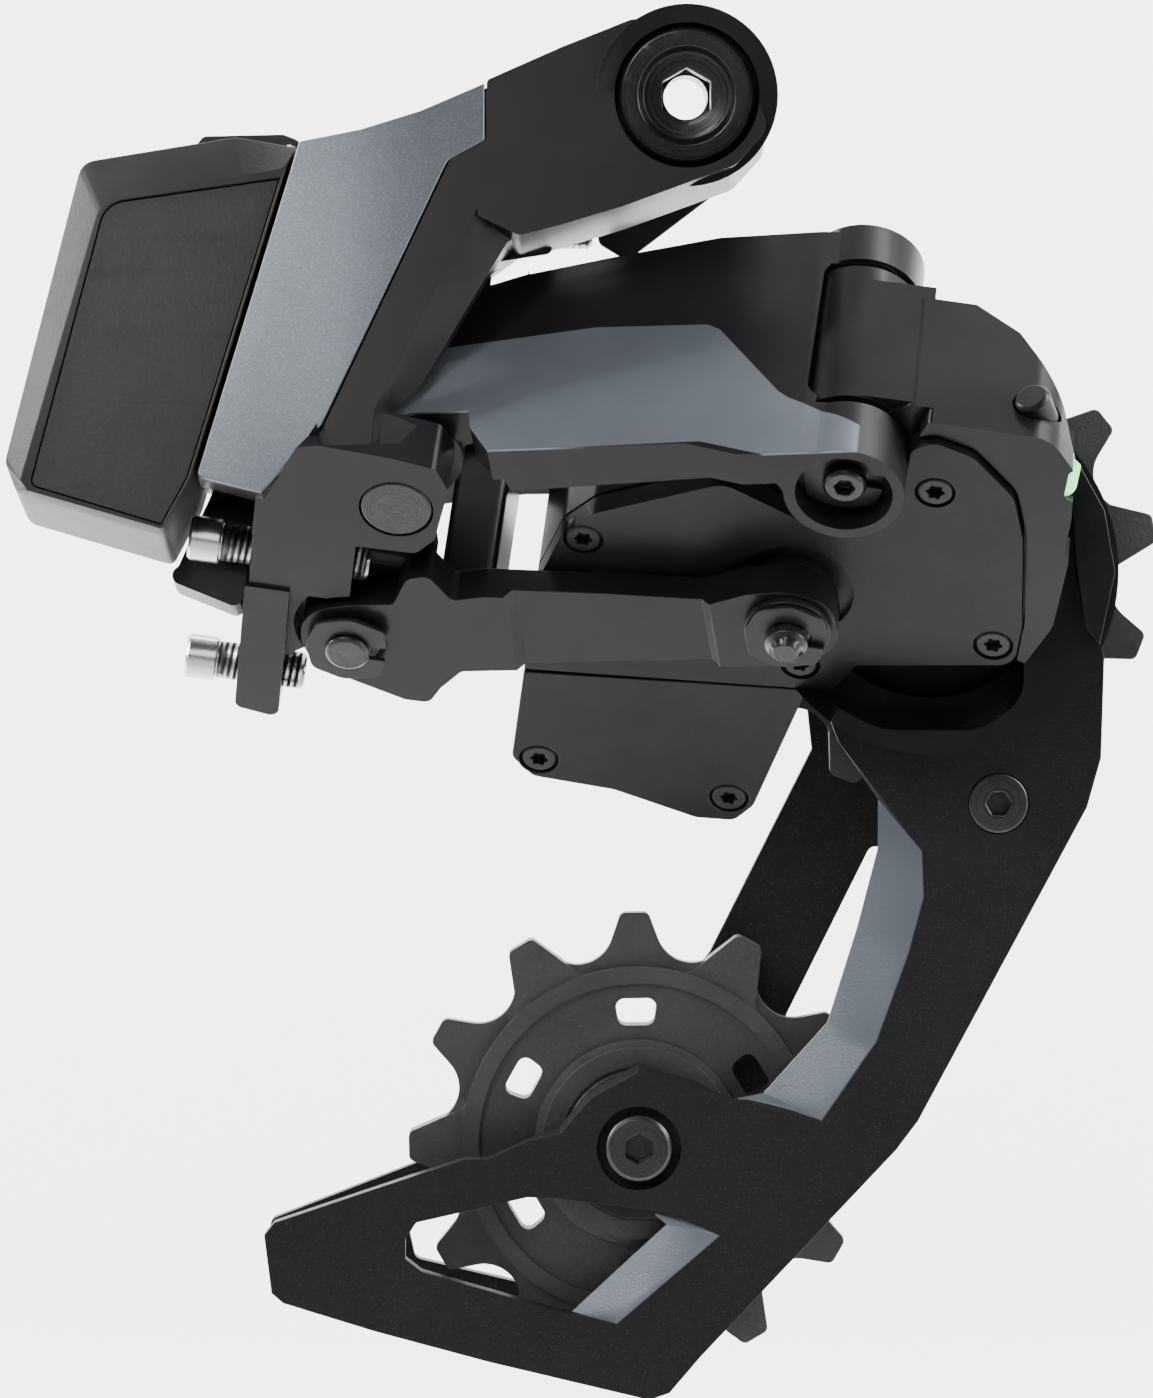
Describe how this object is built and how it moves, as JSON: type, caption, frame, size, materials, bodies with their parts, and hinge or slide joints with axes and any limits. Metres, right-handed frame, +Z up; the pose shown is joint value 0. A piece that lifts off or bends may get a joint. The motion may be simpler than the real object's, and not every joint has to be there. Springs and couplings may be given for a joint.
{
  "type": "rear bicycle derailleur",
  "caption": "Battery-powered rear derailleur for a road bicycle: slanted parallelogram between two knuckles, with a sprung chain cage and two toothed pulleys.",
  "frame": {"origin": "where the mounting bolt's axis meets the outer face of the frame's derailleur hanger", "axes": "X forward along the bicycle, Y inboard towards the wheel along the mounting bolt, Z up"},
  "size_m": [0.1234, 0.0599, 0.1518],
  "materials": {
    "black_anodised": "satin black anodised and painted aluminium",
    "grey_paint": "fine metallic blue-grey paint, satin",
    "battery_shell": "satin moulded plastic, fine grain",
    "battery_panel": "darker finely textured plastic",
    "cage_black": "fine speckled black powder coat",
    "cover_black": "satin black moulded cover",
    "pulley_plastic": "dark grey glass-filled plastic, fine grain",
    "bright_steel": "bright turned steel",
    "black_steel": "blackened turned steel with fine rings",
    "brass": "plain brass",
    "bushing": "grey bearing polymer",
    "rubber": "black rubber",
    "cell_wrap": "heat-shrunk film",
    "board": "green solder mask",
    "chip": "moulded epoxy",
    "lens": "clear green lens, lit",
    "gear_steel": "hobbed steel"
  },
  "bodies": {
    "hanger_mount": {"b_bolt": "black_steel", "hanger_washer": "black_steel"},
    "rear_knuckle": {"b_knuckle": "black_anodised", "knuckle_fascia": "grey_paint", "skid_plate": "cover_black", "b_bushing": "bushing", "b_seal_ring": "rubber", "b_adjust_screw": "bright_steel", "limit_screws": "bright_steel", "pivot_pin_a": "gear_steel", "pivot_cap_a": "cover_black", "pivot_pin_c": "black_steel", "clip_c": "black_steel", "battery_dock": "cover_black", "contact_pins": "brass", "latch_pin": "bright_steel"},
    "latch": {"battery_latch": "cover_black"},
    "battery": {"battery_case": "battery_shell", "battery_panel": "battery_panel", "battery_cells": "cell_wrap", "battery_contacts": "brass"},
    "outer_link_body": {"outer_link": "black_anodised", "bushings_a": "bushing", "pivot_pin_b": "black_steel", "clip_b": "black_steel"},
    "inner_link_body": {"inner_link": "black_anodised", "bushings_c": "bushing", "pivot_pin_d": "black_steel", "washer_d": "black_steel", "clip_d": "black_steel", "output_gear": "gear_steel"},
    "front_knuckle": {"motor_housing": "black_anodised", "gear_cover": "cover_black", "electronics_cover": "cover_black", "cover_screws": "black_steel", "cover_gasket": "rubber", "motor_can": "bright_steel", "circuit_boards": "board", "board_chips": "chip", "knuckle_cap": "cover_black", "lamp_lens": "lens", "bushings_b": "bushing", "cage_bushing": "bushing", "cage_seal": "rubber", "idler_shaft": "bright_steel"},
    "idler": {"idler_gear": "gear_steel"},
    "rotor": {"motor_pinion": "gear_steel"},
    "button": {"function_button": "cover_black"},
    "cage": {"outer_cage_plate": "cage_black", "inner_cage_plate": "cage_black", "cage_pivot": "gear_steel", "cage_spring": "bright_steel", "pulley_bushes": "gear_steel", "dust_caps": "black_steel", "tension_bolt": "black_steel", "guide_bolt": "black_steel", "cage_bolt": "black_steel", "cage_nut": "black_steel"},
    "guide": {"guide_pulley": "pulley_plastic"},
    "tension": {"tension_pulley": "pulley_plastic"}
  },
  "joints": [
    {"name": "b_pivot", "type": "hinge", "parent": "hanger_mount", "child": "rear_knuckle", "pos_m": [0, -0.009, 0], "axis": [0, 1, 0], "range_deg": [0, 30]},
    {"name": "outer_link_swing", "type": "hinge", "parent": "rear_knuckle", "child": "outer_link_body", "pos_m": [-0.02884, -0.00837, -0.03131], "axis": [0.0949, 0.7314, 0.6754], "range_deg": [0, 60]},
    {"name": "inner_link_swing", "type": "hinge", "parent": "rear_knuckle", "child": "inner_link_body", "pos_m": [-0.03416, 0.00541, -0.04548], "axis": [0.0949, 0.7314, 0.6754], "range_deg": [0, 60]},
    {"name": "front_knuckle_level", "type": "hinge", "parent": "outer_link_body", "child": "front_knuckle", "pos_m": [0.0178, -0.01608, -0.02951], "axis": [0.0949, 0.7314, 0.6754], "range_deg": [-60, 0]},
    {"name": "idler_turn", "type": "hinge", "parent": "front_knuckle", "child": "idler", "pos_m": [0.00167, -0.00399, -0.04626], "axis": [0.0949, 0.7314, 0.6754], "range_deg": [-150, 0]},
    {"name": "rotor_turn", "type": "hinge", "parent": "front_knuckle", "child": "rotor", "pos_m": [-0.0049, 0.00011, -0.04978], "axis": [0.0949, 0.7314, 0.6754], "range_deg": [0, 360]},
    {"name": "button_press", "type": "slide", "parent": "front_knuckle", "child": "button", "axis": [0.3263, 0.6181, -0.7152], "range_m": [0, 0.0008], "stiffness_N_per_m": 900},
    {"name": "latch_swing", "type": "hinge", "parent": "rear_knuckle", "child": "latch", "pos_m": [-0.0424, -0.0072, -0.00501], "axis": [0, 0.9781, -0.2079], "range_deg": [0, 60]},
    {"name": "battery_slide", "type": "slide", "parent": "rear_knuckle", "child": "battery", "axis": [-0.9557, 0.0612, 0.288], "range_m": [0, 0.008]},
    {"name": "cage_swing", "type": "hinge", "parent": "front_knuckle", "child": "cage", "pos_m": [0.0268, 0.012, -0.0506], "axis": [0, -1, 0], "range_deg": [0, 90], "stiffness_Nm_per_rad": 0.3, "springref_deg": -68.75, "deforming": ["cage_spring"]},
    {"name": "guide_pulley_spin", "type": "hinge", "parent": "cage", "child": "guide", "pos_m": [0.0268, 0.0168, -0.0506], "axis": [0, 1, 0], "continuous": true},
    {"name": "tension_pulley_spin", "type": "hinge", "parent": "cage", "child": "tension", "pos_m": [-0.0048, 0.0168, -0.1144], "axis": [0, 1, 0], "continuous": true}
  ],
  "couplings": [
    {"joint": "inner_link_swing", "follows": "outer_link_swing", "ratio": 1},
    {"joint": "front_knuckle_level", "follows": "outer_link_swing", "ratio": -1},
    {"joint": "idler_turn", "follows": "outer_link_swing", "ratio": -2.5},
    {"joint": "rotor_turn", "follows": "outer_link_swing", "ratio": 6},
    {"joint": "latch_swing", "follows": "battery_slide", "rad_per_m": 130.9}
  ]
}
